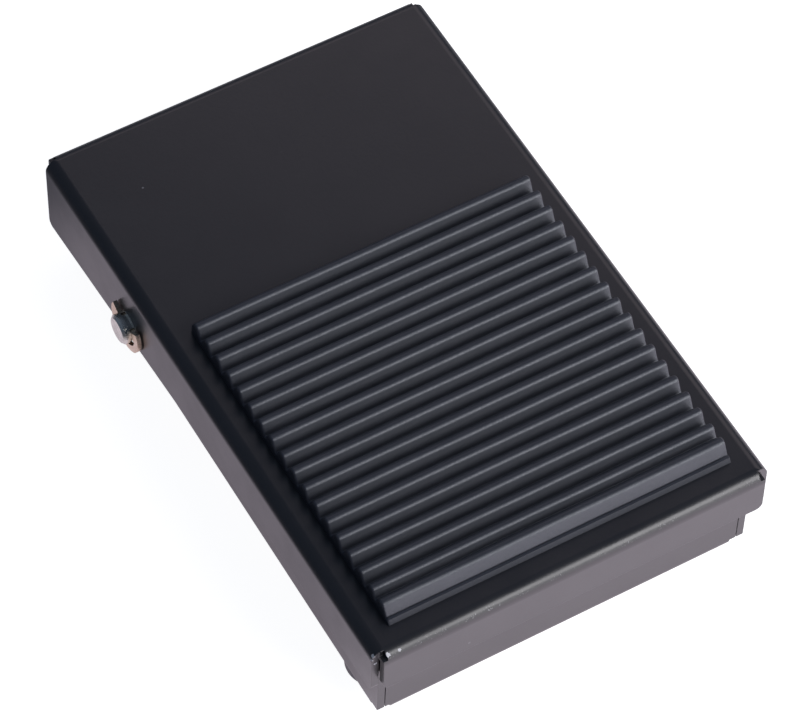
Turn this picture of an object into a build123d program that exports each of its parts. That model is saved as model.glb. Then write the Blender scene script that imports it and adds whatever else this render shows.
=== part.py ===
from build123d import *
import math
import os

# Foot pedal switch: a folded steel cover rocks on a pivot pin in a folded steel base and presses
# the lever of a snap switch. X is the width, the pressed front edge is at -Y, +Z is up, and the
# rubber feet stand on Z = 0. Millimetres and degrees throughout.

# Folded steel
sheet = 1.2
cover_width = 67.4
cover_length = 105.0
cover_bend = 2.0
cover_front_skirt = 8.3
cover_rear_skirt = 7.6
cover_side_front = 9.9
cover_side_rear = 15.1
cover_side_knee_y = -16.0
base_width = 63.6
base_length = 99.7
base_bend = 1.6
flange_corner_radius = 1.1

# Corners of the folded steel, measured in from the two outer faces: the relief's sizes across,
# along and deep, and the setbacks of the end and side flanges
cover_relief = (2.0, 1.4, 1.2)
cover_end_flange_in = 1.25
cover_side_flange_back = 1.5
base_relief = (2.4, 2.0, 1.7)
base_end_flange_in = 1.35
base_side_flange_back = 0.0

# Stance and swing
foot_height = 2.5
rest_tilt = 0.95
press_angle = 4.1
pin_y = 23.7
pin_z = 12.2
pin_below_top = 9.5
stop_gap = 0.08
wall_gap = 0.5

# Pivot pin and its clips
pin_radius = 2.5
pin_overhang = 2.2
pin_chamfer = 0.4
groove_radius = 2.0
groove_width = 0.76
groove_centre_out = 0.57
clip_radius = 4.3
clip_window_radius = 3.1
clip_thickness = 0.7
clip_mouth_angle = 118.0
clip_prong_turn = 78.0
clip_prong_width = 1.7
running_gap = 0.05
fixed_gap = 0.02

# Ribbed rubber tread
tread_width = 58.3
tread_rear = 11.85
tread_front = -47.5
tread_corner_radius = 0.6
tread_back_height = 1.75
valley_height = 1.15
rib_count = 18
rib_pitch = 3.32
first_rib_y = 10.6
rib_flank_angle = 64.0
crest_radius = 0.75
valley_floor = 0.56
front_lip = 0.4
front_lip_height = 0.55

# Rubber feet
foot_radius = 4.7
foot_edge_chamfer = 0.7
foot_x = 26.6
foot_y = 40.4

# Cable inlet
inlet_z = 8.35
inlet_radius = 3.6
inlet_bore_radius = 2.3
grommet_rim_radius = 4.2
grommet_lip = 1.3

# Return spring and the two pressed seats that hold it
spring_y = -28.0
spring_wire = 0.9
spring_mean_radius = 4.05
spring_end_pitch = 1.4
spring_turns = 5
spring_wire_sides = 6
spring_seat_gap = 0.03
seat_radius = 2.9
seat_height = 1.4
seat_lead = 0.2

# Pressed ridge that works the switch
ridge_y = -10.5
ridge_radius = 1.5
ridge_drop = 0.77
ridge_length = 3.0

# Snap switch, standing on edge along the pedal's middle
case_thick = 6.4
case_length = 19.8
case_height = 10.2
case_rear = 5.9
case_top = 17.25
case_wall = 0.8
lid_thick = 1.0
case_edge_radius = 0.4
cavity_front = -12.7
cavity_rear = 3.5
cavity_roof = 1.2
hole_spacing = 9.5
hole_up = 2.9
hole_radius = 1.2
boss_half = 1.9

# Switch lever and plunger
lever_axis_y = 4.6
lever_axis_z = 17.1
lever_eye_radius = 0.7
lever_thick = 0.4
lever_width = 3.6
lever_reach = 17.6
lever_rest_angle = 9.25
lever_corner_radius = 0.9
trunnion_radius = 0.4
trunnion_reach = 0.85
lever_gap = 0.06
plunger_y = 0.0
plunger_radius = 0.85
plunger_dome_radius = 1.0
plunger_dome_z = 17.1
plunger_bottom = 14.85
plunger_collar_radius = 1.4
plunger_collar_height = 0.6

# Contacts and terminals inside the switch
blade_thick = 0.25
blade_width = 2.6
blade_bottom = 13.9
blade_pivot_y = 3.6
blade_tail = 1.0
blade_front_y = -12.5
window_width = 1.2
window_front_y = -8.5
window_rear_y = -1.5
contact_y = -11.6
contact_radius = 0.7
contact_head = 0.45
contact_rest_gap = 0.02
contact_travel_gap = 0.5
fixed_contact_height = 0.4
terminal_thick = 0.5
terminal_width = 1.5
front_terminal_width = 0.8
terminal_arm_width = 2.4
terminal_bottom = 4.2
middle_terminal_y = -4.0
shelf_depth = 1.6
pocket_headroom = 0.4
closed_leg_gap = 0.2

# Switch bracket and its fastenings
bracket_sheet = 1.0
bracket_bend = 1.6
bracket_length = 16.0
bracket_top = 13.2
bracket_foot = 9.2
bracket_corner_radius = 2.0
rivet_x = 8.9
rivet_neck_half = 1.25
rivet_head_radius = 2.6
rivet_head_height = 0.9
screw_radius = 1.0
screw_clearance = 0.1
screw_head_radius = 1.9
screw_head_height = 1.3
screw_slot_width = 0.5
screw_slot_depth = 0.6
screw_tail = 0.6
nut_across_flats = 4.0
nut_height = 1.6

over = 1.0

# Derived places
half_width = cover_width / 2
half_length = cover_length / 2
base_floor = foot_height + sheet
case_bottom = case_top - case_height
case_middle_y = case_rear - case_length / 2
case_left = -case_thick / 2
case_right = case_thick / 2
lid_left = case_right - lid_thick
hole_z = case_bottom + hole_up
hole_ys = (case_middle_y - hole_spacing / 2, case_middle_y + hole_spacing / 2)


# Turns a shape from the cover's level frame, top face at Z = 0, to its rest attitude on the pin.
def on_cover(shape):
    return Pos(0, pin_y, pin_z) * Rot(-rest_tilt, 0, 0) * Pos(0, -pin_y, pin_below_top) * shape


# Height of the cover's underside over a point of the base, with the pedal turned by an angle.
def underside_height(y, pressed):
    turn = math.radians(pressed - rest_tilt)
    rise = (pin_below_top - sheet) / math.cos(turn)
    return pin_z + rise - (pin_y - y) * math.tan(turn)


# A box given by its corner planes.
def block(x0, x1, y0, y1, z0, z1):
    size = (x1 - x0, y1 - y0, z1 - z0)
    return Pos((x0 + x1) / 2, (y0 + y1) / 2, (z0 + z1) / 2) * Box(*size)


# A round bar along X between two planes.
def bar_x(radius, x0, x1, y, z):
    return Pos((x0 + x1) / 2, y, z) * Rot(0, 90, 0) * Cylinder(radius, x1 - x0)


# A round bar along Z between two heights.
def bar_z(radius, x, y, z0, z1):
    return Pos(x, y, (z0 + z1) / 2) * Cylinder(radius, z1 - z0)


# A square post along Z between two heights.
def post(half, x, y, z0, z1):
    return block(x - half, x + half, y - half, y + half, z0, z1)


# A flange's outline, from the points of its free edge, with its two free corners rounded.
def flange_outline(free_edge):
    corners = [(free_edge[0][0], over), *free_edge, (free_edge[-1][0], over)]
    outline = make_face(Polyline(*corners, close=True))
    ends = [v for v in outline.vertices() if (v.X, v.Y) in (free_edge[0], free_edge[-1])]
    return fillet(ends, flange_corner_radius)


# A tray folded from sheet, with its plate's outer face at Z = 0 and its flanges below. Each
# corner has a square relief where two bends meet, and a slit between the end and side flanges.
def folded_tray(width, length, bend, relief_sizes, end_in, side_edge, front_depth, rear_depth):
    across = width / 2
    along = length / 2
    inner = across - sheet
    face = along - sheet
    low = min(z for y, z in side_edge) - over
    top = (Align.CENTER, Align.CENTER, Align.MAX)
    outside = Box(width, length, -low, align=top)
    outside = fillet(outside.edges().group_by(Axis.Z)[-1], bend)
    inside = Box(2 * inner, 2 * face, -low, align=top)
    inside = fillet(inside.edges().group_by(Axis.Z)[-1], bend - sheet)
    tray = outside - Pos(0, 0, -sheet) * inside
    side = extrude(Plane.YZ * flange_outline(side_edge), amount=width, both=True)
    right = block(inner, across + over, -along - over, along + over, low - over, over) - side
    tray -= right + mirror(right, about=Plane.YZ)
    for way, depth in ((-1, front_depth), (1, rear_depth)):
        end = across - end_in
        keep = extrude(Plane.XZ * flange_outline([(-end, -depth), (end, -depth)]), amount=length, both=True)
        y0, y1 = sorted((way * face, way * (along + over)))
        tray -= block(-inner, inner, y0, y1, low - over, over) - keep
    relief_x, relief_y, deep = relief_sizes
    relief = block(across - relief_x, across + over, along - relief_y, along + over, -deep, over)
    right = relief + mirror(relief, about=Plane.XZ)
    return tray - right - mirror(right, about=Plane.YZ)


# A shallow cup pressed into the plate, for a spring end, and the dent behind it.
def pressed_cup(y):
    cup = bar_z(seat_radius, 0, y, -sheet - seat_height, -sheet / 2)
    dent = bar_z(seat_radius - sheet, 0, y, -seat_height, over)
    return cup, dent


# The rounded ridge that works the switch, and the dent behind it.
def pressed_ridge():
    axis_z = ridge_radius - ridge_drop - sheet
    half = ridge_length / 2
    r = ridge_radius
    bar = bar_x(r, -half, half, ridge_y, axis_z)
    ridge = bar & block(-half, half, ridge_y - r, ridge_y + r, -sheet - ridge_drop, -sheet / 2)
    dent = bar_x(r - sheet / 2, sheet / 2 - half, half - sheet / 2, ridge_y, axis_z)
    return ridge, dent


def make_pedal_cover():
    end = half_length - cover_side_flange_back
    side_edge = [(-end, -cover_side_front), (cover_side_knee_y, -cover_side_front), (end, -cover_side_rear)]
    tray = folded_tray(
        cover_width, cover_length, cover_bend, cover_relief, cover_end_flange_in, side_edge,
        cover_front_skirt, cover_rear_skirt
    )
    tray -= bar_x(pin_radius + running_gap, -half_width - over, half_width + over, pin_y, -pin_below_top)
    cup, cup_dent = pressed_cup(spring_y + seat_lead)
    ridge, ridge_dent = pressed_ridge()
    tray = tray + cup + ridge - cup_dent - ridge_dent
    return on_cover(tray)


def make_base_pan():
    end = base_length / 2
    front_y = -end + base_side_flange_back
    rear_y = end - base_side_flange_back
    front_height = underside_height(-end + sheet, press_angle) - stop_gap - foot_height
    rear_height = underside_height(end, 0) - stop_gap - foot_height
    side_edge = [
        (front_y, foot_height + wall_gap - underside_height(front_y, press_angle)),
        (pin_y, foot_height + wall_gap - underside_height(pin_y, press_angle)),
        (rear_y, foot_height + wall_gap - underside_height(rear_y, 0)),
    ]
    tray = folded_tray(
        base_width, base_length, base_bend, base_relief, base_end_flange_in,
        side_edge, front_height, rear_height
    )
    tray = Pos(0, 0, foot_height) * mirror(tray, about=Plane.XY)
    tray -= bar_x(pin_radius + fixed_gap, -base_width, base_width, pin_y, pin_z)
    tray -= Pos(0, end, inlet_z) * Rot(90, 0, 0) * Cylinder(inlet_radius, 2 * sheet + over)
    for y in hole_ys:
        tray -= post(rivet_neck_half, rivet_x, y, foot_height - over, base_floor + over)
    cup, dent = pressed_cup(spring_y)
    lift = Pos(0, 0, foot_height)
    return tray + lift * mirror(cup, about=Plane.XY) - lift * mirror(dent, about=Plane.XY)


# Height of the rib's crest over the flat floor of its valley.
def rib_rise():
    flank = math.radians(rib_flank_angle)
    flank_run = rib_pitch / 2 - crest_radius * math.sin(flank) - valley_floor / 2
    return crest_radius * (1 - math.cos(flank)) + flank_run * math.tan(flank)


# The tread's profile in Y and Z, run from the rear edge to the front edge over the ribs.
def tread_profile():
    flank = math.radians(rib_flank_angle)
    crest = valley_height + rib_rise()
    crest_run = crest_radius * math.sin(flank)
    crest_drop = crest_radius * (1 - math.cos(flank))
    back = math.atan2(crest - tread_back_height, tread_rear - first_rib_y)
    start = (first_rib_y + crest_radius * math.sin(back), crest - crest_radius * (1 - math.cos(back)))
    rear_top = (tread_rear, tread_back_height)
    edges = [Line((tread_rear, 0), rear_top), Line(rear_top, start)]
    for rib in range(rib_count):
        y = first_rib_y - rib * rib_pitch
        down = (y - crest_run, crest - crest_drop)
        edges.append(ThreePointArc(start, (y, crest), down))
        last = rib == rib_count - 1
        if last:
            foot = (tread_front + front_lip, front_lip_height)
            edges.append(Line(down, foot))
        else:
            valley_y = y - rib_pitch / 2
            left = (valley_y + valley_floor / 2, valley_height)
            right = (valley_y - valley_floor / 2, valley_height)
            start = (valley_y - rib_pitch / 2 + crest_run, crest - crest_drop)
            edges += [Line(down, left), Line(left, right), Line(right, start)]
    lip_top = (tread_front, front_lip_height)
    lip_foot = (tread_front, 0)
    edges += [Line(foot, lip_top), Line(lip_top, lip_foot), Line(lip_foot, (tread_rear, 0))]
    return make_face(Wire(edges))


def make_tread_pad():
    pad = extrude(Plane.YZ * tread_profile(), amount=tread_width / 2, both=True)
    middle = (tread_rear + tread_front) / 2
    length = tread_rear - tread_front
    plan = Pos(0, middle, 0) * RectangleRounded(tread_width, length, tread_corner_radius)
    pad &= extrude(plan, amount=valley_height + rib_rise() + over)
    return on_cover(pad)


def make_pivot_pin():
    reach = half_width + pin_overhang
    pin = bar_x(pin_radius, -reach, reach, pin_y, pin_z)
    pin = chamfer(pin.edges().filter_by(GeomType.CIRCLE), pin_chamfer)
    for side in (-1, 1):
        middle = side * (half_width + groove_centre_out)
        left = middle - groove_width / 2
        right = middle + groove_width / 2
        core = bar_x(groove_radius, left, right, pin_y, pin_z)
        pin -= bar_x(pin_radius + over, left, right, pin_y, pin_z) - core
    return pin


# An E-shaped clip, flat in its own plane: an open ring with its mouth towards +Y of that plane,
# and three prongs that reach in to the groove.
def clip_face():
    throat = groove_radius + fixed_gap
    plate = Circle(clip_radius) - Circle(clip_window_radius)
    half = math.radians(clip_mouth_angle / 2)
    far = clip_radius / math.cos(half)
    lip = (far * math.sin(half), far * math.cos(half))
    plate -= make_face(Polyline((0, 0), lip, (-lip[0], lip[1]), close=True))
    reach = clip_window_radius + clip_thickness - throat
    for turn in (180, clip_prong_turn, -clip_prong_turn):
        prong = Pos(0, throat + reach / 2) * Rectangle(clip_prong_width, reach)
        plate += Rot(0, 0, turn) * prong
    return plate - Circle(throat)


def make_pin_clip(side):
    clip = extrude(Plane.YZ * clip_face(), amount=clip_thickness / 2, both=True)
    return Pos(side * (half_width + groove_centre_out), pin_y, pin_z) * clip


def foot_places():
    return [(x, y) for y in (-foot_y, foot_y) for x in (-foot_x, foot_x)]


def make_foot(x, y):
    pad = bar_z(foot_radius, x, y, 0, foot_height)
    return chamfer(pad.edges().group_by(Axis.Z)[0], foot_edge_chamfer)


def make_cable_grommet():
    outside = base_length / 2
    inside = outside - sheet
    profile = make_face(Polyline(
        (inlet_bore_radius, inside - grommet_lip),
        (grommet_rim_radius, inside - grommet_lip),
        (grommet_rim_radius, inside),
        (inlet_radius, inside),
        (inlet_radius, outside),
        (grommet_rim_radius, outside),
        (grommet_rim_radius, outside + grommet_lip),
        (inlet_bore_radius, outside + grommet_lip),
        close=True,
    ))
    return Pos(0, 0, inlet_z) * revolve(profile, Axis.Y)


# Height of the spring's wire centre after some turns: close-wound first and last turns.
def spring_height(turns):
    bottom = base_floor + spring_wire / 2
    top = underside_height(spring_y, 0) - spring_seat_gap - spring_wire / 2
    middle_pitch = (top - bottom - 2 * spring_end_pitch) / (spring_turns - 2)
    if turns < 1:
        return bottom + spring_end_pitch * turns
    if turns < spring_turns - 1:
        return bottom + spring_end_pitch + middle_pitch * (turns - 1)
    return top - spring_end_pitch * (spring_turns - turns)


def spring_point(turns):
    angle = math.radians(360 * turns)
    r = spring_mean_radius
    return Vector(r * math.cos(angle), spring_y + r * math.sin(angle), spring_height(turns))


# Direction of the wire: the mean climb of the quarter turns on either side.
def spring_direction(turns, step):
    angle = math.radians(360 * turns)
    low = max(turns - step, 0)
    high = min(turns + step, spring_turns)
    climb = (spring_height(high) - spring_height(low)) / (math.radians(360) * (high - low))
    r = spring_mean_radius
    return Vector(-r * math.sin(angle), r * math.cos(angle), climb).normalized()


# Two arcs from one point and direction to the next, meeting smoothly halfway.
def biarc(start, start_way, end, end_way):
    across = end - start
    both = start_way + end_way
    square = both.dot(both) - 4
    linear = -2 * across.dot(both)
    reach = (-linear - math.sqrt(linear * linear - 4 * square * across.dot(across))) / (2 * square)
    meet = (start + start_way * reach + end - end_way * reach) * 0.5
    middle_way = (end - end_way * reach - start - start_way * reach).normalized()
    return [TangentArc(start, meet, tangent=start_way), TangentArc(meet, end, tangent=middle_way)]


# Least clear gap between neighbouring turns, measured on points along the wire.
def spring_gap(step):
    count = round(spring_turns / step)
    points = [spring_point(i * step) for i in range(count + 1)]
    turn = round(1 / step)
    half = turn // 2
    gaps = [(points[i] - p).length for i in range(half, count + 1) for p in points[: i - half]]
    return min(gaps) - spring_wire


def make_return_spring():
    step = 0.25
    path = []
    for i in range(round(spring_turns / step)):
        a = i * step
        b = a + step
        path += biarc(spring_point(a), spring_direction(a, step), spring_point(b), spring_direction(b, step))
    wire = Wire(path)
    section = Plane(origin=wire @ 0, z_dir=wire % 0) * RegularPolygon(spring_wire / 2, spring_wire_sides)
    print("return spring: least gap between turns", round(spring_gap(step / 8), 3), "mm")
    return sweep(section, path=wire)


def make_switch_bracket():
    wall_x = case_right
    foot_x1 = wall_x + bracket_foot
    front = case_middle_y - bracket_length / 2
    rear = case_middle_y + bracket_length / 2
    solid = block(wall_x, foot_x1, front, rear, base_floor, bracket_top)
    hollow = block(
        wall_x + bracket_sheet, foot_x1 + over, front - over, rear + over,
        base_floor + bracket_sheet, bracket_top + over
    )
    outer_edge = solid.edges().filter_by(Axis.Y).sort_by(Axis.X)[:2].sort_by(Axis.Z)[0]
    inner_edge = hollow.edges().filter_by(Axis.Y).sort_by(Axis.X)[:2].sort_by(Axis.Z)[0]
    bracket = fillet(outer_edge, bracket_bend) - fillet(inner_edge, bracket_bend - bracket_sheet)
    wall_corners = bracket.edges().filter_by(Axis.X).group_by(Axis.Z)[-1]
    bracket = fillet(wall_corners, bracket_corner_radius)
    foot_corners = bracket.edges().filter_by(Axis.Z).group_by(Axis.X)[-1]
    bracket = fillet(foot_corners, bracket_corner_radius)
    for y in hole_ys:
        bracket -= bar_x(screw_radius + screw_clearance, wall_x - over, wall_x + 2 * over, y, hole_z)
        bracket -= post(rivet_neck_half, rivet_x, y, base_floor - over, base_floor + bracket_sheet + over)
    return bracket


# A square-necked rivet through the bracket's foot and the base plate, with a flat head at each end.
def make_rivet(y):
    top = base_floor + bracket_sheet
    height = rivet_head_height
    neck = post(rivet_neck_half, rivet_x, y, foot_height, top)
    upper = bar_z(rivet_head_radius, rivet_x, y, top, top + height)
    lower = bar_z(rivet_head_radius, rivet_x, y, foot_height - height, foot_height)
    return neck + upper + lower


# Room in the case and lid for the lever's eye and its two trunnions.
def lever_seat():
    half = lever_width / 2 + lever_gap
    reach = half + trunnion_reach
    r = lever_eye_radius + lever_gap
    eye = bar_x(r, -half, half, lever_axis_y, lever_axis_z)
    mouth = block(-half, half, lever_axis_y - r, lever_axis_y + r, lever_axis_z, case_top + over)
    return eye + mouth + bar_x(trunnion_radius + lever_gap, -reach, reach, lever_axis_y, lever_axis_z)


# The strips that carry current, as cut from sheet: a leg out of the case and an arm inside.
def terminal_leg(y0, y1, top):
    return block(-terminal_thick / 2, terminal_thick / 2, y0, y1, terminal_bottom, top)


def terminal_arm(y0, y1, top):
    half = terminal_arm_width / 2
    return block(-half, half, y0, y1, top - terminal_thick, top)


def make_common_terminal():
    rear = blade_pivot_y + shelf_depth
    top = blade_bottom - contact_rest_gap
    return terminal_leg(rear - terminal_width, rear, top) + terminal_arm(blade_pivot_y, rear, top)


def open_contact_top():
    return blade_bottom - contact_head - contact_travel_gap


def closed_contact_bottom():
    return blade_bottom + blade_thick + contact_head + contact_rest_gap


def make_open_terminal():
    top = open_contact_top() - fixed_contact_height
    rear = middle_terminal_y + terminal_width / 2
    leg = terminal_leg(rear - terminal_width, rear, top)
    return leg + terminal_arm(contact_y - contact_radius, rear, top)


def make_closed_terminal():
    top = closed_contact_bottom() + fixed_contact_height + terminal_thick
    front = cavity_front - closed_leg_gap
    leg = terminal_leg(front - front_terminal_width, front, top)
    return leg + terminal_arm(front - front_terminal_width, contact_y + contact_radius, top)


def make_open_contact():
    return bar_z(contact_radius, 0, contact_y, open_contact_top() - fixed_contact_height, open_contact_top())


def make_closed_contact():
    bottom = closed_contact_bottom()
    return bar_z(contact_radius, 0, contact_y, bottom, bottom + fixed_contact_height)


def make_moving_contact():
    low = blade_bottom - contact_head
    high = blade_bottom + blade_thick + contact_head
    return bar_z(contact_radius, 0, contact_y, low, high)


def make_contact_blade():
    half = blade_width / 2
    top = blade_bottom + blade_thick
    low = blade_bottom - over
    side = window_width / 2
    blade = block(-half, half, blade_front_y, blade_pivot_y + blade_tail, blade_bottom, top)
    window = block(-side, side, window_front_y, window_rear_y, low, top + over)
    return blade - window - bar_z(contact_radius, 0, contact_y, low, top + over)


# The case's outer block between two planes across its thickness, with rounded long edges.
def case_block(x0, x1):
    body = block(x0, x1, case_rear - case_length, case_rear, case_bottom, case_top)
    return fillet(body.edges().filter_by(Axis.X), case_edge_radius)


# Everything taken out of the case and the lid alike.
def case_holes():
    holes = lever_seat()
    for y in hole_ys:
        holes += bar_x(hole_radius, case_left - over, case_right + over, y, hole_z)
    return holes


def make_switch_case():
    case = case_block(case_left, lid_left)
    inner_left = case_left + case_wall
    roof = case_top - cavity_roof
    cavity = block(inner_left, lid_left + over, cavity_front, cavity_rear, case_bottom + case_wall, roof)
    for y in hole_ys:
        y0, y1 = y - boss_half, y + boss_half
        cavity -= block(case_left, lid_left + over, y0, y1, case_bottom, hole_z + boss_half)
    rear = blade_pivot_y + shelf_depth
    pocket_top = blade_bottom + blade_thick + pocket_headroom
    shelf_bottom = blade_bottom - contact_rest_gap - terminal_thick
    half = blade_width / 2
    cavity += block(-half, lid_left + over, cavity_rear - over, rear, shelf_bottom, pocket_top)
    closed_top = closed_contact_bottom() + fixed_contact_height + terminal_thick
    front = cavity_front - closed_leg_gap
    arm_half = terminal_arm_width / 2
    cavity += block(
        -arm_half, arm_half, front - front_terminal_width, cavity_front + over,
        closed_top - terminal_thick, closed_top
    )
    reach_in = terminal_thick / 2
    middle_half = terminal_width / 2
    legs = terminal_leg(rear - terminal_width, rear, shelf_bottom + reach_in)
    legs += terminal_leg(
        middle_terminal_y - middle_half, middle_terminal_y + middle_half, case_bottom + case_wall + reach_in
    )
    legs += terminal_leg(front - front_terminal_width, front, closed_top)
    case = case - cavity - legs - case_holes()
    return case - bar_z(plunger_radius + lever_gap, 0, plunger_y, roof - over, case_top + over)


def make_switch_lid():
    return case_block(lid_left, case_right) - case_holes()


def make_switch_plunger():
    stem = bar_z(plunger_radius, 0, plunger_y, plunger_bottom, plunger_dome_z + plunger_dome_radius)
    dome = bar_x(plunger_dome_radius, -over, over, plunger_y, plunger_dome_z)
    below = block(-over, over, plunger_y - over, plunger_y + over, plunger_bottom, plunger_dome_z)
    collar_top = case_top - cavity_roof - running_gap
    collar = bar_z(plunger_collar_radius, 0, plunger_y, collar_top - plunger_collar_height, collar_top)
    return (stem & (dome + below)) + collar


def make_switch_lever():
    half = lever_width / 2
    axis = Pos(0, lever_axis_y, lever_axis_z)
    eye = bar_x(lever_eye_radius, -half, half, 0, 0)
    pins = bar_x(trunnion_radius, -half - trunnion_reach, half + trunnion_reach, 0, 0)
    strip = block(-half, half, -lever_reach, 0, lever_eye_radius - lever_thick, lever_eye_radius)
    corners = strip.edges().filter_by(Axis.Z).group_by(Axis.Y)[0]
    strip = fillet(corners, lever_corner_radius)
    return axis * Rot(-lever_rest_angle, 0, 0) * (eye + pins + strip)


# A slotted cheese-head screw through the switch and the bracket's wall.
def make_switch_screw(y):
    tail = case_right + bracket_sheet + nut_height + screw_tail
    shank = bar_x(screw_radius, case_left, tail, y, hole_z)
    head = bar_x(screw_head_radius, case_left - screw_head_height, case_left, y, hole_z)
    slot = block(
        case_left - screw_head_height - over, case_left - screw_head_height + screw_slot_depth,
        y - screw_head_radius - over, y + screw_head_radius + over,
        hole_z - screw_slot_width / 2, hole_z + screw_slot_width / 2
    )
    return shank + head - slot


def make_switch_nut(y):
    hexagon = RegularPolygon(nut_across_flats / 2, 6, major_radius=False)
    nut = extrude(hexagon - Circle(screw_radius), amount=nut_height)
    return Pos(case_right + bracket_sheet, y, hole_z) * Rot(0, 90, 0) * nut


def make_nodes():
    corner_names = ("foot_front_left", "foot_front_right", "foot_rear_left", "foot_rear_right")
    nodes = {
        "base_pan": make_base_pan(),
        "pedal_cover": make_pedal_cover(),
        "tread_pad": make_tread_pad(),
        "pivot_pin": make_pivot_pin(),
        "pin_clip_left": make_pin_clip(-1),
        "pin_clip_right": make_pin_clip(1),
        "cable_grommet": make_cable_grommet(),
        "return_spring": make_return_spring(),
        "switch_bracket": make_switch_bracket(),
        "bracket_rivets": Compound(children=[make_rivet(y) for y in hole_ys]),
        "switch_case": make_switch_case(),
        "switch_lid": make_switch_lid(),
        "switch_plunger": make_switch_plunger(),
        "switch_lever": make_switch_lever(),
        "contact_blade": make_contact_blade(),
        "moving_contact": make_moving_contact(),
        "open_contact": make_open_contact(),
        "closed_contact": make_closed_contact(),
        "common_terminal": make_common_terminal(),
        "open_terminal": make_open_terminal(),
        "closed_terminal": make_closed_terminal(),
        "switch_screws": Compound(children=[make_switch_screw(y) for y in hole_ys]),
        "switch_nuts": Compound(children=[make_switch_nut(y) for y in hole_ys]),
    }
    for name, (x, y) in zip(corner_names, foot_places()):
        nodes[name] = make_foot(x, y)
    return nodes


os.makedirs("parts", exist_ok=True)
for node, shape in make_nodes().items():
    export_step(shape, f"parts/{node}.step")
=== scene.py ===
import bmesh
import bpy
import math
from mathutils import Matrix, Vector


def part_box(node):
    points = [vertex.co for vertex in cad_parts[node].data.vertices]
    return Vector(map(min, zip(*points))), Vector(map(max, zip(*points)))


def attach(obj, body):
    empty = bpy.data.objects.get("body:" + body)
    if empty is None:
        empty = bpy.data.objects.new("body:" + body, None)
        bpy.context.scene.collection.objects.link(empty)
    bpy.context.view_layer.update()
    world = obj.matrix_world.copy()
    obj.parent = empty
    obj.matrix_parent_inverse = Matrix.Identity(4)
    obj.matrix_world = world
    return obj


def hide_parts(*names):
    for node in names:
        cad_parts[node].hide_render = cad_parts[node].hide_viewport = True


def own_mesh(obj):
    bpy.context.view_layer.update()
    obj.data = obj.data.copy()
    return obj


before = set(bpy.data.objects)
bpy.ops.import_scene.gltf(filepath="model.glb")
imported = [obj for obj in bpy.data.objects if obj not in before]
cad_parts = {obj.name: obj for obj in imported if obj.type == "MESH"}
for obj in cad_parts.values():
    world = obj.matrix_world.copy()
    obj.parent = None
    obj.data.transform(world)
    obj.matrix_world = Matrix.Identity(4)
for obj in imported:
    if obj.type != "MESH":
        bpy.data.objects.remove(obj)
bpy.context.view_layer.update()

mm = 0.001
print("frame loaded:", len(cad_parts), "nodes")


# camera, in metres and degrees

camera = {
    "place": (-0.20720514, -0.33342311, 0.57825558),
    "turn": (34.616103, -1.432698, -29.825692),     # about X, Y and Z
    "lens": 203.2616,
    "sensor": 36.0,
    "nearest": 0.01,
    "farthest": 20,
}


def makeCamera():
    data = bpy.data.cameras.new("camera")
    data.lens = camera["lens"]
    data.sensor_width = camera["sensor"]
    data.clip_start = camera["nearest"]
    data.clip_end = camera["farthest"]
    shot = bpy.data.objects.new("camera", data)
    shot.location = camera["place"]
    shot.rotation_euler = [math.radians(a) for a in camera["turn"]]
    bpy.context.scene.collection.objects.link(shot)
    bpy.context.scene.camera = shot


makeCamera()
print("camera made")


# short ways to build a node tree

class Tree:
    def __init__(self, tree):
        self.tree = tree
        self.tree.nodes.clear()

    def node(self, kind, values=None, **settings):
        made = self.tree.nodes.new(kind)
        for name, value in settings.items():
            setattr(made, name, value)
        for socket, value in (values or {}).items():
            self.feed(made.inputs[socket], value)
        return made

    def feed(self, socket, value):
        if isinstance(value, bpy.types.NodeSocket):
            self.tree.links.new(value, socket)
        else:
            socket.default_value = value

    def maths(self, operation, *values):
        made = self.node("ShaderNodeMath", operation=operation)
        for i, value in enumerate(values):
            self.feed(made.inputs[i], value)
        return made.outputs[0]

    def step(self, value, low, high, fromTo=(0.0, 1.0), smooth=True):
        made = self.node("ShaderNodeMapRange", {
            "Value": value, "From Min": low, "From Max": high, "To Min": fromTo[0], "To Max": fromTo[1],
        })
        made.interpolation_type = "SMOOTHSTEP" if smooth else "LINEAR"
        return made.outputs["Result"]

    # clouds whose blotches are about as wide as size, in mm
    def noise(self, where, size, detail=2.0, rough=0.5):
        return self.node("ShaderNodeTexNoise", {
            "Vector": where, "Scale": 1 / (size * mm), "Detail": detail, "Roughness": rough,
        }).outputs["Fac"]

    def mix(self, factor, first, second):
        made = self.node("ShaderNodeMix", data_type="RGBA")
        self.feed(made.inputs["Factor"], factor)
        self.feed(made.inputs[6], first)
        self.feed(made.inputs[7], second)
        return made.outputs[2]

    def bump(self, height, distance, **more):
        values = {"Height": height, "Strength": 1.0, "Distance": distance * mm}
        values.update(more)
        return self.node("ShaderNodeBump", values).outputs["Normal"]

    # the surface's own direction, with its cut edges rounded
    def softEdges(self, radius):
        return self.node("ShaderNodeBevel", {"Radius": radius * mm}, samples=6).outputs["Normal"]


def colour(r, g, b):
    return (r, g, b, 1.0)


def tinted(rgb, tint):
    return colour(*[c * tint for c in rgb])


def newMaterial(name):
    material = bpy.data.materials.new(name)
    material.use_nodes = True
    tree = Tree(material.node_tree)
    where = tree.node("ShaderNodeTexCoord").outputs["Object"]
    shader = tree.node("ShaderNodeBsdfPrincipled")
    out = tree.node("ShaderNodeOutputMaterial")
    tree.tree.links.new(shader.outputs["BSDF"], out.inputs["Surface"])
    return material, tree, where, shader


def dress(node, material):
    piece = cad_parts[node]
    piece.data.materials.clear()
    piece.data.materials.append(material)


# floor, lamps and world, in metres and degrees

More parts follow.
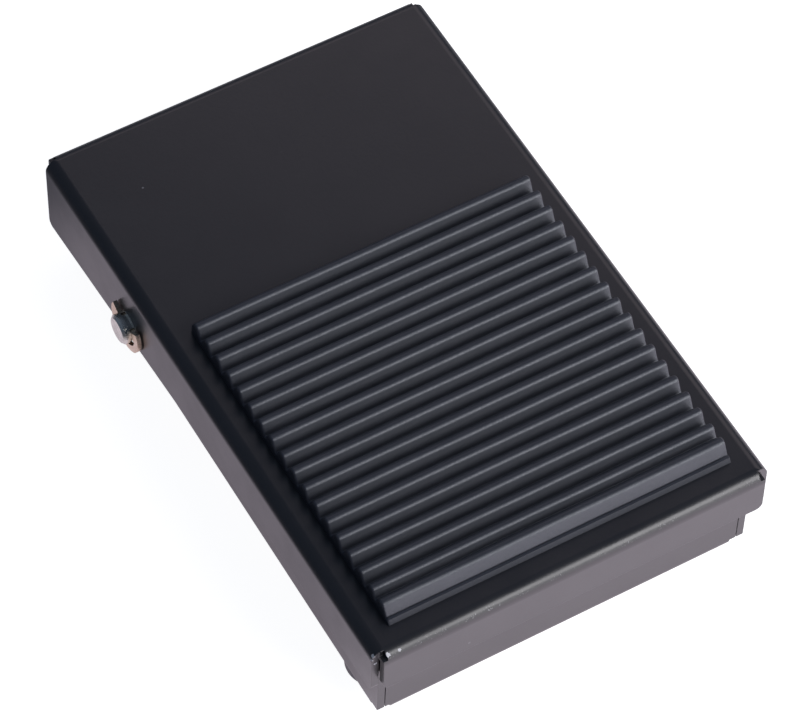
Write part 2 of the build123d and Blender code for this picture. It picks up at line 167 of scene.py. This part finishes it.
studio = {
    "floorColour": (0.70, 0.70, 0.70),
    "floorRoughness": 0.9,
    "floorShine": 0.1,
    "floorSize": 6.0,
    "glowSeen": 0.93,                   # the paper's own glow, as the camera sees it
    "glowTint": (1.02, 0.89, 1.01),     # and as a reflection sees it, bright in front and dim behind: a painted reflection of lit floor in front and painted shade behind the object
    "glowBehind": 0.06,
    "glowSteps": ((0.070, 0.040, 0.48), (-0.025, -0.075, 0.56)),    # from y, to y, more glow
    "reflectedShadeEdge": (-0.040, -0.068),       # x over which the floor turns to painted shade on the left, as a reflection sees it; the camera still sees white floor there
    "reflectedShadeColour": (0.26, 0.26, 0.30),
    "sky": (0.075, 0.095, 0.135),
    "lampDistance": 1.2,
    # turn is from straight in front towards the right
    "lamps": {
        "key": {"turn": 42, "height": 35, "wide": 54, "tall": 28, "glow": 4.1, "colour": (1, 0.98, 1)},
        "low": {"turn": 34, "height": 9, "wide": 80, "tall": 14, "glow": 1.9, "colour": (1, 0.97, 1)},
        "rear": {"turn": 134, "height": 39, "wide": 52, "tall": 24, "glow": 0.55, "colour": (1, 0.85, 0.88)},
    },
}


def makeWorld():
    world = bpy.data.worlds.new("studio")
    bpy.context.scene.world = world
    world.use_nodes = True
    tree = Tree(world.node_tree)
    path = tree.node("ShaderNodeLightPath")
    soft = tree.node("ShaderNodeBackground", {"Color": colour(*studio["sky"]), "Strength": 1.0})
    white = tree.node("ShaderNodeBackground", {"Color": colour(1, 1, 1), "Strength": 1.0})
    chosen = tree.node("ShaderNodeMixShader", {0: path.outputs["Is Camera Ray"]})
    tree.tree.links.new(soft.outputs[0], chosen.inputs[1])
    tree.tree.links.new(white.outputs[0], chosen.inputs[2])
    out = tree.node("ShaderNodeOutputWorld")
    tree.tree.links.new(chosen.outputs[0], out.inputs["Surface"])


def floorPaper():
    material, tree, where, shader = newMaterial("floorPaper")
    shader.inputs["Roughness"].default_value = studio["floorRoughness"]
    shader.inputs["Specular IOR Level"].default_value = studio["floorShine"]
    path = tree.node("ShaderNodeLightPath")
    reflected = path.outputs["Is Glossy Ray"]
    place = tree.node("ShaderNodeSeparateXYZ", {"Vector": where})
    # only reflections see the floor go darker to the left: painted shade
    start, end = studio["reflectedShadeEdge"]
    outsideReflectedShade = tree.step(place.outputs["X"], end, start)
    reflectedShade = tree.maths("MULTIPLY", reflected, tree.maths("SUBTRACT", 1.0, outsideReflectedShade))
    base = tree.mix(reflectedShade, colour(*studio["floorColour"]), colour(*studio["reflectedShadeColour"]))
    tree.feed(shader.inputs["Base Color"], base)
    # glow that only reflections see, ramped along y: painted light in front and painted shade behind the
    # object
    ramp = studio["glowBehind"]
    for start, end, gain in studio["glowSteps"]:
        ramp = tree.maths("ADD", tree.step(place.outputs["Y"], end, start, (gain, 0.0)), ramp)
    inReflection = tree.maths("MULTIPLY", reflected, tree.maths("MULTIPLY", ramp, outsideReflectedShade))
    seen = tree.maths("MULTIPLY", path.outputs["Is Camera Ray"], studio["glowSeen"])
    tint = tree.mix(reflected, colour(1, 1, 1), colour(*studio["glowTint"]))
    glow = tree.node("ShaderNodeEmission", {"Color": tint, "Strength": tree.maths("ADD", inReflection, seen)})
    both = tree.node("ShaderNodeAddShader")
    tree.tree.links.new(shader.outputs["BSDF"], both.inputs[0])
    tree.tree.links.new(glow.outputs[0], both.inputs[1])
    out = next(n for n in tree.tree.nodes if n.type == "OUTPUT_MATERIAL")
    tree.tree.links.new(both.outputs[0], out.inputs["Surface"])
    return material


def makeFloor():
    mesh = bpy.data.meshes.new("floor")
    half = studio["floorSize"] / 2
    corners = [(-half, -half, 0), (half, -half, 0), (half, half, 0), (-half, half, 0)]
    mesh.from_pydata(corners, [], [(0, 1, 2, 3)])
    floor = bpy.data.objects.new("floor", mesh)
    bpy.context.scene.collection.objects.link(floor)
    mesh.materials.append(floorPaper())


def makeLamps():
    away = studio["lampDistance"]
    for name, facts in studio["lamps"].items():
        turn = math.radians(facts["turn"])
        height = math.radians(facts["height"])
        data = bpy.data.lights.new(name, "AREA")
        data.shape = "RECTANGLE"
        data.size = 2 * away * math.tan(math.radians(facts["wide"] / 2))
        data.size_y = 2 * away * math.tan(math.radians(facts["tall"] / 2))
        data.energy = math.pi * data.size * data.size_y * facts["glow"]
        data.color = facts["colour"]
        lamp = bpy.data.objects.new(name, data)
        flat = math.cos(height)
        way = Vector((flat * math.sin(turn), -flat * math.cos(turn), math.sin(height)))
        lamp.location = way * away
        lamp.rotation_mode = "QUATERNION"
        lamp.rotation_quaternion = (-way).to_track_quat("-Z", "Y")
        bpy.context.scene.collection.objects.link(lamp)


bpy.context.scene.view_settings.view_transform = "Standard"
makeWorld()
makeFloor()
makeLamps()
print("floor, world and lamps made")


# satin black paint on the folded steel

paint = {
    "colour": (0.0125, 0.0122, 0.0150),
    "lighter": (0.0155, 0.0150, 0.0180),
    "cloudSize": 14,
    "fineSize": 1.1,
    "fineShare": 0.3,
    "roughness": (0.28, 0.32),
    "roughSize": 6,
    "refraction": 1.8,
    "peel": 0.5,            # size of the orange peel
    "peelHeight": 0.006,
    "edgeRadius": 0.12,     # how far the paint rounds a cut edge
    "speck": (0.30, 0.30, 0.32),
    "speckSpacing": 4.5,
    "speckSize": 0.055,     # of the largest specks, as a share of their spacing
    "speckShare": (0.15, 0.7),
    # light colour of the chips, which also stands for painted highlight dots
    "chipAndGlint": (0.78, 0.78, 0.80),
    "chipAndGlintRoughness": 0.6,
}
# chips and rubbed paint at the front of the cover, partly painted highlights: light dots at the corner
# notches and a light sparkle along the front bend's highlight line; place and radius
coverWearAndGlints = {
    "chipsAndGlints": (
        ((-33.35, -50.6, 22.0), 0.36), ((-31.5, -51.65, 22.45), 0.40), ((-33.05, -50.9, 20.1), 0.28),
        ((-29.6, -51.7, 22.4), 0.24), ((-33.6, -50.7, 21.3), 0.22),
    ),
    "raggedSize": 0.3,
    "raggedReach": (0.45, 1.35),
    "rubbedAndGlintLine": (-51.9, 22.2),        # y and height of the front bend
    "rubbedAndGlintWidth": 0.62,
    "groupSize": 5,
    "dotSize": 0.28,
    "rubbedAndGlintShare": 0.45,
}


# how much of the bare primer shows, together with the painted highlight dots and sparkle at the front of the
# cover
def bareAndGlintShare(tree, where):
    ragged = tree.noise(where, coverWearAndGlints["raggedSize"], detail=3.0)
    reach = tree.step(ragged, 0.2, 0.8, coverWearAndGlints["raggedReach"], smooth=False)
    share = 0.0
    for place, radius in coverWearAndGlints["chipsAndGlints"]:
        centre = [c * mm for c in place]
        away = tree.node("ShaderNodeVectorMath", {0: where, 1: centre}, operation="DISTANCE").outputs["Value"]
        inside = tree.maths("LESS_THAN", away, tree.maths("MULTIPLY", reach, radius * mm))
        share = tree.maths("MAXIMUM", share, inside)
    y, z = coverWearAndGlints["rubbedAndGlintLine"]
    flat = tree.node("ShaderNodeVectorMath", {0: where, 1: (0, 1, 1)}, operation="MULTIPLY").outputs["Vector"]
    line = (0, y * mm, z * mm)
    away = tree.node("ShaderNodeVectorMath", {0: flat, 1: line}, operation="DISTANCE").outputs["Value"]
    near = tree.step(away, 0.0, coverWearAndGlints["rubbedAndGlintWidth"] * mm, (1.0, 0.0))
    groups = tree.step(tree.noise(where, coverWearAndGlints["groupSize"]), 0.42, 0.62)
    dots = tree.step(tree.noise(where, coverWearAndGlints["dotSize"]), 0.60, 0.70)
    rubbedAndGlint = tree.maths("MULTIPLY", tree.maths("MULTIPLY", near, groups), dots)
    return tree.maths("MAXIMUM", share, tree.maths("MULTIPLY", rubbedAndGlint, coverWearAndGlints["rubbedAndGlintShare"]))


# dust specks, a few to the square centimetre
def dust(tree, where):
    cells = tree.node("ShaderNodeTexVoronoi", {
        "Vector": where, "Scale": 1 / (paint["speckSpacing"] * mm), "Randomness": 1.0,
    })
    pick = tree.node("ShaderNodeSeparateColor", {"Color": cells.outputs["Color"]})
    size = tree.step(pick.outputs[0], 0.8, 1.0, (0.0, paint["speckSize"]))
    near = tree.maths("LESS_THAN", cells.outputs["Distance"], size)
    return tree.maths("MULTIPLY", near, tree.step(pick.outputs[1], 0.0, 1.0, paint["speckShare"]))


def paintedSteel(name, tint=1.0, worn=False):
    material, tree, where, shader = newMaterial(name)
    cloud = tree.noise(where, paint["cloudSize"], detail=4.0)
    fine = tree.noise(where, paint["fineSize"], detail=3.0)
    spread = tree.maths("ADD", cloud, tree.maths("MULTIPLY", fine, paint["fineShare"]))
    first, second = tinted(paint["colour"], tint), tinted(paint["lighter"], tint)
    base = tree.mix(tree.step(spread, 0.45, 0.85), first, second)
    base = tree.mix(dust(tree, where), base, colour(*paint["speck"]))
    rough = tree.step(tree.noise(where, paint["roughSize"], detail=5.0), 0.3, 0.7, paint["roughness"])
    # the worn cover also gets painted highlights: light dots at the corners and a sparkle along the front
    # bend
    if worn:
        bareAndGlint = bareAndGlintShare(tree, where)
        base = tree.mix(bareAndGlint, base, colour(*paint["chipAndGlint"]))
        rough = tree.maths("MAXIMUM", rough, tree.maths("MULTIPLY", bareAndGlint, paint["chipAndGlintRoughness"]))
    tree.feed(shader.inputs["Base Color"], base)
    tree.feed(shader.inputs["Roughness"], rough)
    shader.inputs["IOR"].default_value = paint["refraction"]
    # orange peel, over edges that the paint has rounded
    peel = tree.noise(where, paint["peel"], detail=1.5)
    bump = tree.bump(peel, paint["peelHeight"], Normal=tree.softEdges(paint["edgeRadius"]))
    tree.feed(shader.inputs["Normal"], bump)
    return material


dress("pedal_cover", paintedSteel("coverPaint", worn=True))
dress("base_pan", paintedSteel("basePaint", tint=0.9))
print("paint on the cover and base")


# black rubber of the tread and feet

rubber = {
    "colour": (0.011, 0.013, 0.021),
    "worn": (0.017, 0.019, 0.029),
    "cloudSize": 5,
    "roughness": (0.42, 0.52),
    "refraction": 1.95,
    "sheen": (0.90, 0.94, 1.0),
    "grain": 0.25,
    "grainHeight": 0.006,
}


def mouldedRubber(name, tint=1.0):
    material, tree, where, shader = newMaterial(name)
    cloud = tree.noise(where, rubber["cloudSize"], detail=5.0, rough=0.6)
    grain = tree.noise(where, rubber["grain"])
    first, second = tinted(rubber["colour"], tint), tinted(rubber["worn"], tint)
    tree.feed(shader.inputs["Base Color"], tree.mix(tree.step(cloud, 0.35, 0.75), first, second))
    tree.feed(shader.inputs["Roughness"], tree.step(grain, 0.3, 0.7, rubber["roughness"]))
    shader.inputs["IOR"].default_value = rubber["refraction"]
    shader.inputs["Specular Tint"].default_value = colour(*rubber["sheen"])
    tree.feed(shader.inputs["Normal"], tree.bump(grain, rubber["grainHeight"]))
    return material


treadRubber = mouldedRubber("treadRubber")
blackRubber = mouldedRubber("blackRubber", tint=0.5)
for node in ("foot_front_left", "foot_front_right", "foot_rear_left", "foot_rear_right", "cable_grommet"):
    dress(node, blackRubber)
print("rubber on the tread and feet")


# a closed mesh as an object, with its faces turned outwards
def closedPiece(name, vertices, faces, material):
    mesh = bpy.data.meshes.new(name)
    mesh.from_pydata(vertices, [], faces)
    mesh.validate()
    shape = bmesh.new()
    shape.from_mesh(mesh)
    bmesh.ops.recalc_face_normals(shape, faces=shape.faces)
    shape.to_mesh(mesh)
    shape.free()
    mesh.materials.append(material)
    piece = bpy.data.objects.new(name, mesh)
    bpy.context.scene.collection.objects.link(piece)
    return piece


# the ribbed tread, in the level frame of the cover: y along it, and height over its top face

tread = {
    "width": 58.3,
    "rear": (11.85, 1.75),          # y and height of the rear edge
    "ribs": 18,
    "pitch": 3.32,
    "first": 10.6,
    "last": -45.4,
    "crest": 3.02,
    "crestRadius": 0.78,
    "lastRadius": 0.90,
    "rearSlope": 48,                # where the first rib's crest starts, in degrees
    "flank": 62.5,
    "valleyRadius": 0.20,
    "crease": (-47.08, 0.86),
    "lipRear": (-47.20, 1.00),
    "lipFront": (-47.62, 0.96),
    "lipFoot": (-47.92, 0.0),
    "endRound": 0.35,
    "lowest": 0.02,                 # nothing but the foot goes lower than this
    "wander": 0.02,                 # how far the ribs stray from straight
    "wanderAlong": 0.21,            # radians to the mm along a rib
    "wanderAcross": 1.7,            # and from rib to rib
    "wanderAbove": 0.5,
    "crestSteps": 14,
    "valleySteps": 4,
    "endSteps": 6,
    "lengthSteps": 28,
    "sharpAngle": 38,
}
coverPlace = {"pin": (23.7, 12.2), "pinBelowTop": 9.5, "lean": 0.95}


def onCover(x, y, z):
    pinY, pinZ = coverPlace["pin"]
    lean = math.radians(coverPlace["lean"])
    away = y - pinY
    up = z + coverPlace["pinBelowTop"]
    newY = pinY + away * math.cos(lean) + up * math.sin(lean)
    newZ = pinZ - away * math.sin(lean) + up * math.cos(lean)
    return (x * mm, newY * mm, newZ * mm)


# points of an arc; the angles are from straight up, towards the rear
def arcPoints(centre, radius, startAngle, endAngle, count):
    points = []
    for i in range(count + 1):
        angle = math.radians(startAngle + (endAngle - startAngle) * i / count)
        points.append((centre[0] + radius * math.sin(angle), centre[1] + radius * math.cos(angle)))
    return points


# y and crest radius of a rib; the last one is stouter
def ribPlace(rib):
    if rib == tread["ribs"] - 1:
        return tread["last"], tread["lastRadius"]
    return tread["first"] - rib * tread["pitch"], tread["crestRadius"]


# height at which a crest's flank, run on upwards, passes over the middle of the rib
def flankPeak(radius):
    flank = math.radians(tread["flank"])
    return tread["crest"] - radius * (1 - math.cos(flank)) + radius * math.sin(flank) * math.tan(flank)


# the small round where two ribs' flanks meet
def valleyPoints(rib):
    flank = math.radians(tread["flank"])
    slope = math.tan(flank)
    y, radius = ribPlace(rib)
    nextY, nextRadius = ribPlace(rib + 1)
    peak, nextPeak = flankPeak(radius), flankPeak(nextRadius)
    meetY = (y + nextY) / 2 + (nextPeak - peak) / (2 * slope)
    meetZ = peak - (y - meetY) * slope
    small = tread["valleyRadius"]
    centre = (meetY, meetZ + small / math.cos(flank))
    arc = arcPoints(centre, small, tread["flank"], -tread["flank"], tread["valleySteps"])
    return [(a, 2 * centre[1] - b) for a, b in arc]


def treadProfile():
    points = [(tread["rear"][0], 0.0), tread["rear"]]
    for rib in range(tread["ribs"]):
        y, radius = ribPlace(rib)
        start = tread["flank"] if rib else tread["rearSlope"]
        points += arcPoints((y, tread["crest"] - radius), radius, start, -tread["flank"], tread["crestSteps"])
        if rib < tread["ribs"] - 1:
            points += valleyPoints(rib)
    return points + [tread["crease"], tread["lipRear"], tread["lipFront"], tread["lipFoot"]]


# places along the ribs, with how far the profile draws in there
def treadSections():
    half = tread["width"] / 2
    rounding = tread["endRound"]
    inner = half - rounding
    ends = []
    for k in range(tread["endSteps"], -1, -1):
        a = math.radians(90 * k / tread["endSteps"])
        ends.append((half - rounding * (1 - math.sin(a)), rounding * (1 - math.cos(a))))
    steps = tread["lengthSteps"]
    middle = [(-inner + 2 * inner * i / steps, 0.0) for i in range(1, steps)]
    return [(-x, inset) for x, inset in ends] + middle + [(x, inset) for x, inset in reversed(ends)]


def outwardSides(profile):
    sides = []
    for i in range(len(profile)):
        y0, z0 = profile[i - 1]
        y1, z1 = profile[(i + 1) % len(profile)]
        sides.append(Vector((z1 - z0, y0 - y1)).normalized())
    return sides


def buildTread():
    profile = treadProfile()
    sides = outwardSides(profile)
    sections = treadSections()
    count = len(profile)
    vertices = []
    for x, inset in sections:
        for (y, z), side in zip(profile, sides):
            row = round(y / tread["pitch"])
            sway = tread["wander"] * math.sin(tread["wanderAlong"] * x + tread["wanderAcross"] * row)
            newY = y - inset * side[0] + (sway if z > tread["wanderAbove"] else 0)
            newZ = max(z - inset * side[1], tread["lowest"]) if z > 0 else z
            vertices.append(onCover(x, newY, newZ))
    faces = []
    for row in range(len(sections) - 1):
        a, b = row * count, (row + 1) * count
        for i in range(count):
            j = (i + 1) % count
            faces.append((a + i, a + j, b + j, b + i))
    faces.append(tuple(range(count - 1, -1, -1)))
    faces.append(tuple((len(sections) - 1) * count + i for i in range(count)))
    piece = closedPiece("ribbedTread", vertices, faces, treadRubber)
    for face in piece.data.polygons:
        face.use_smooth = True
    piece.data.set_sharp_from_angle(angle=math.radians(tread["sharpAngle"]))
    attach(piece, "pedal")
    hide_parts("tread_pad")


buildTread()
print("tread made")


# bare and plated metals

metals = {
    "brightPlate": {"colour": (0.88, 0.86, 0.78), "dull": (0.62, 0.62, 0.56), "roughness": (0.16, 0.30)},
    "yellowPlate": {"colour": (0.95, 0.79, 0.62), "dull": (0.76, 0.59, 0.43), "roughness": (0.24, 0.40)},
    "zincPlate": {"colour": (0.56, 0.57, 0.60), "dull": (0.36, 0.37, 0.39), "roughness": (0.28, 0.45)},
    "springSteel": {"colour": (0.46, 0.46, 0.47), "dull": (0.28, 0.28, 0.28), "roughness": (0.25, 0.42)},
    "rolledCopper": {"colour": (0.72, 0.42, 0.25), "dull": (0.48, 0.26, 0.15), "roughness": (0.22, 0.38)},
    "silver": {"colour": (0.80, 0.79, 0.76), "dull": (0.58, 0.57, 0.54), "roughness": (0.15, 0.30)},
    "brass": {"colour": (0.70, 0.54, 0.27), "dull": (0.46, 0.34, 0.16), "roughness": (0.22, 0.40)},
}
metalWear = {
    "cloudSize": 1.6,
    "scuffSize": 0.5,
    "scuffStretch": (1, 1, 6),
    "scuffHeight": 0.004,
    "edgeRadius": 0.06,
}


def metal(name):
    facts = metals[name]
    material, tree, where, shader = newMaterial(name)
    cloud = tree.noise(where, metalWear["cloudSize"], detail=5.0, rough=0.65)
    stretched = tree.node("ShaderNodeMapping", {"Vector": where, "Scale": metalWear["scuffStretch"]})
    scuff = tree.noise(stretched.outputs["Vector"], metalWear["scuffSize"], detail=3.0)
    base = tree.mix(tree.step(cloud, 0.35, 0.7), colour(*facts["colour"]), colour(*facts["dull"]))
    tree.feed(shader.inputs["Base Color"], base)
    tree.feed(shader.inputs["Roughness"], tree.step(scuff, 0.3, 0.7, facts["roughness"]))
    shader.inputs["Metallic"].default_value = 1.0
    bump = tree.bump(scuff, metalWear["scuffHeight"], Normal=tree.softEdges(metalWear["edgeRadius"]))
    tree.feed(shader.inputs["Normal"], bump)
    return material


metalOf = {
    "pivot_pin": "brightPlate", "pin_clip_left": "yellowPlate", "pin_clip_right": "yellowPlate",
    "switch_bracket": "zincPlate", "bracket_rivets": "zincPlate", "switch_screws": "zincPlate",
    "switch_nuts": "zincPlate", "return_spring": "springSteel", "switch_lever": "springSteel",
    "contact_blade": "rolledCopper", "moving_contact": "silver", "open_contact": "silver",
    "closed_contact": "silver", "common_terminal": "brass", "open_terminal": "brass",
    "closed_terminal": "brass",
}
madeMetals = {name: metal(name) for name in metals}
for node, name in metalOf.items():
    dress(node, madeMetals[name])
print("metals on", len(metalOf), "nodes")


# return spring, as a piece of its own with a mesh of its own

coil = {
    "middle": -28.0,        # y of its axis
    "radius": 4.05,
    "wireRoom": 0.45,       # from the spring's box to the middle of the wire
    "wire": 0.44,
    "endPitch": 1.4,
    "turns": 5,
    "stepsPerTurn": 28,
    "sides": 10,
    "shortens": 4.1,        # the plate comes down 3.7, and slopes across the spring
}


def buildSpring():
    low, high = (corner[2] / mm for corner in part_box("return_spring"))
    bottom = low + coil["wireRoom"]
    top = high - coil["wireRoom"]
    openTurns = coil["turns"] - 2
    openPitch = (top - bottom - 2 * coil["endPitch"]) / openTurns
    sides = coil["sides"]
    count = coil["turns"] * coil["stepsPerTurn"]
    vertices = []
    for i in range(count + 1):
        turns = i / coil["stepsPerTurn"]
        opened = min(max(turns - 1, 0), openTurns)
        height = bottom + openPitch * opened + coil["endPitch"] * (turns - opened)
        pitch = openPitch if 0 < opened < openTurns else coil["endPitch"]
        angle = 2 * math.pi * turns
        outward = Vector((math.cos(angle), math.sin(angle), 0))
        climb = pitch / (2 * math.pi * coil["radius"])
        along = Vector((-math.sin(angle), math.cos(angle), climb)).normalized()
        up = outward.cross(along)
        centre = outward * coil["radius"] + Vector((0, coil["middle"], height))
        for k in range(sides):
            turn = 2 * math.pi * k / sides
            side = outward * math.cos(turn) + up * math.sin(turn)
            vertices.append((centre + side * coil["wire"]) * mm)
    faces = []
    for i in range(count):
        for k in range(sides):
            a = i * sides + k
            b = i * sides + (k + 1) % sides
            faces.append((a, b, b + sides, a + sides))
    faces.append(tuple(range(sides - 1, -1, -1)))
    faces.append(tuple(count * sides + k for k in range(sides)))
    piece = closedPiece("coilSpring", vertices, faces, madeMetals["springSteel"])
    for face in piece.data.polygons:
        face.use_smooth = len(face.vertices) == 4
    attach(piece, "base")
    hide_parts("return_spring")
    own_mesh(piece)


buildSpring()
print("spring made")


# plastics of the switch

plastics = {
    "switchBlack": {
        "colour": (0.022, 0.022, 0.023), "other": (0.034, 0.034, 0.035), "roughness": (0.38, 0.52),
    },
    "plungerRed": {
        "colour": (0.50, 0.06, 0.045), "other": (0.42, 0.05, 0.04), "roughness": (0.25, 0.38),
    },
}
plasticSkin = {"grain": 0.35, "grainHeight": 0.004, "cloudSize": 3}


def plastic(name):
    facts = plastics[name]
    material, tree, where, shader = newMaterial(name)
    grain = tree.noise(where, plasticSkin["grain"], detail=3.0)
    cloud = tree.noise(where, plasticSkin["cloudSize"], detail=3.0)
    base = tree.mix(cloud, colour(*facts["colour"]), colour(*facts["other"]))
    tree.feed(shader.inputs["Base Color"], base)
    tree.feed(shader.inputs["Roughness"], tree.step(grain, 0.3, 0.7, facts["roughness"]))
    tree.feed(shader.inputs["Normal"], tree.bump(grain, plasticSkin["grainHeight"]))
    return material


switchBlack = plastic("switchBlack")
dress("switch_case", switchBlack)
dress("switch_lid", switchBlack)
dress("switch_plunger", plastic("plungerRed"))
print("plastics on the switch")
